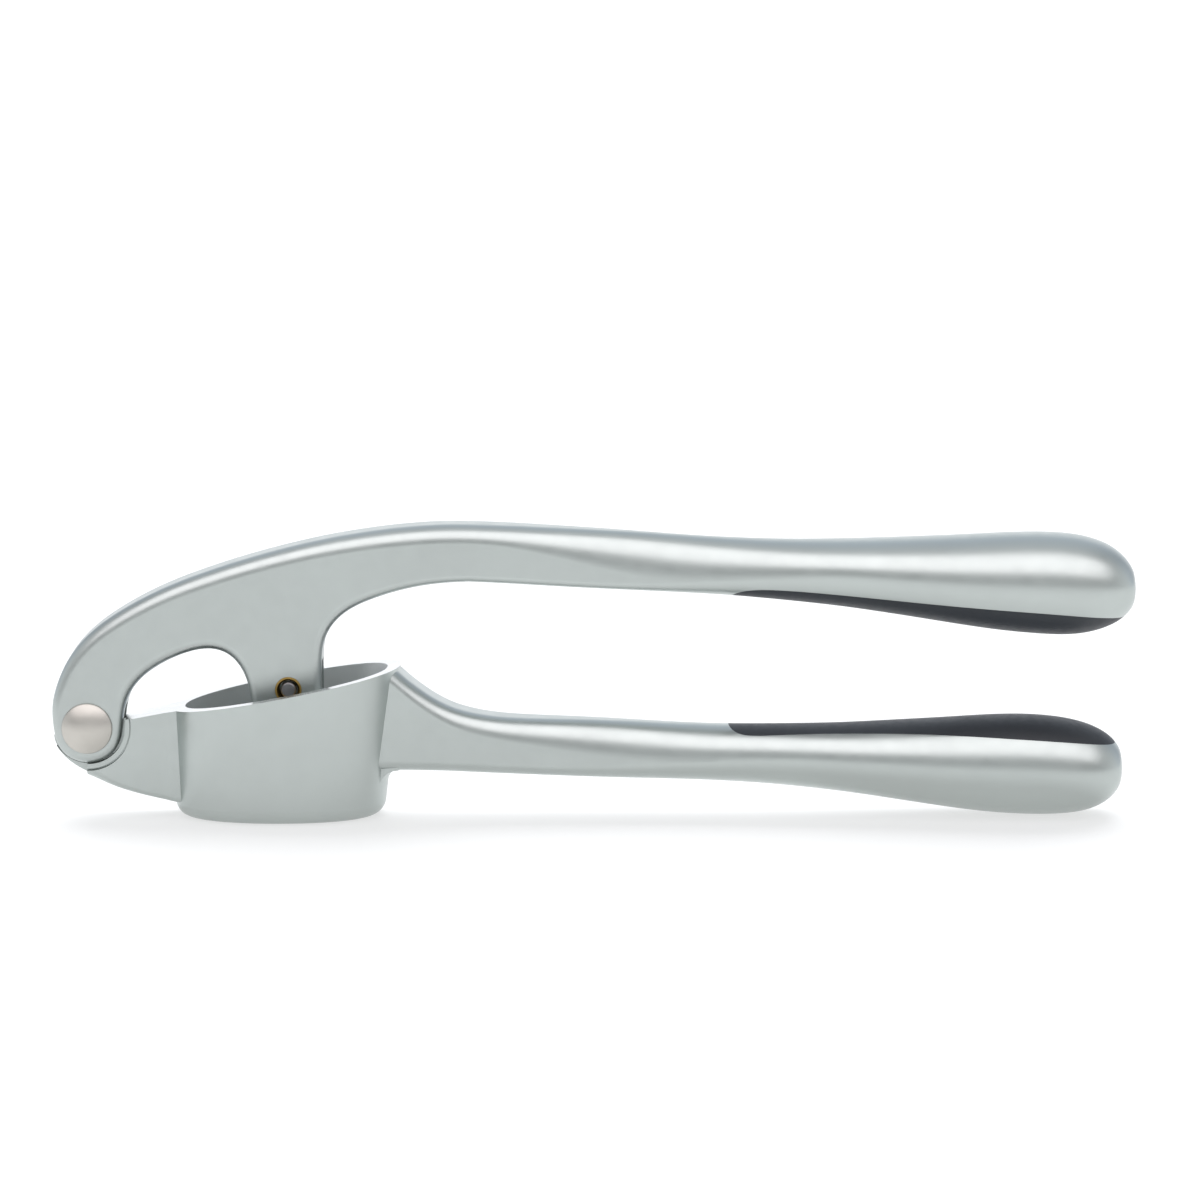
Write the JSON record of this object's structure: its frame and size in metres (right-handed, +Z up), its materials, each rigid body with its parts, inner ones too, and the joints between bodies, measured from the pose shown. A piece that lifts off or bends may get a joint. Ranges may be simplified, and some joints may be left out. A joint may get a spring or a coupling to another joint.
{
  "type": "garlic press",
  "caption": "Hinged hand press with a drilled oval hopper, a swinging plunger and two rounded handles with soft inlays.",
  "frame": {"origin": "on the table under the middle of the closed press's bounding box", "axes": "+X from the hinge to the handle ends, +Y along the rivet away from its domed head, +Z up from the hopper's foot"},
  "size_m": [0.1899, 0.0276, 0.0516],
  "materials": {
    "satin_casting": "satin plated zinc casting, fine bead-blasted texture",
    "nickel": "satin, slightly warm",
    "pin_steel": "ground",
    "bush_brass": "turned",
    "soft_inlay": "matte, finely textured"
  },
  "bodies": {
    "lower": {"lower_handle": "satin_casting", "lower_grip": "soft_inlay"},
    "upper": {"upper_handle": "satin_casting", "upper_grip": "soft_inlay", "hinge_rivet": "nickel", "hinge_cap": "nickel", "bush_front": "bush_brass", "bush_back": "bush_brass"},
    "plunger": {"plunger": "satin_casting", "plunger_pin": "pin_steel"}
  },
  "joints": [
    {"name": "handle_hinge", "type": "hinge", "parent": "lower", "child": "upper", "pos_m": [-0.0887, 0, 0.016], "axis": [0, -1, 0], "range_deg": [0, 100]},
    {"name": "plunger_pivot", "type": "hinge", "parent": "upper", "child": "plunger", "pos_m": [-0.0534, 0, 0.0228], "axis": [0, -1, 0], "range_deg": [-20, 0]}
  ],
  "couplings": [
    {"joint": "plunger_pivot", "follows": "handle_hinge", "ratio": -0.2}
  ]
}
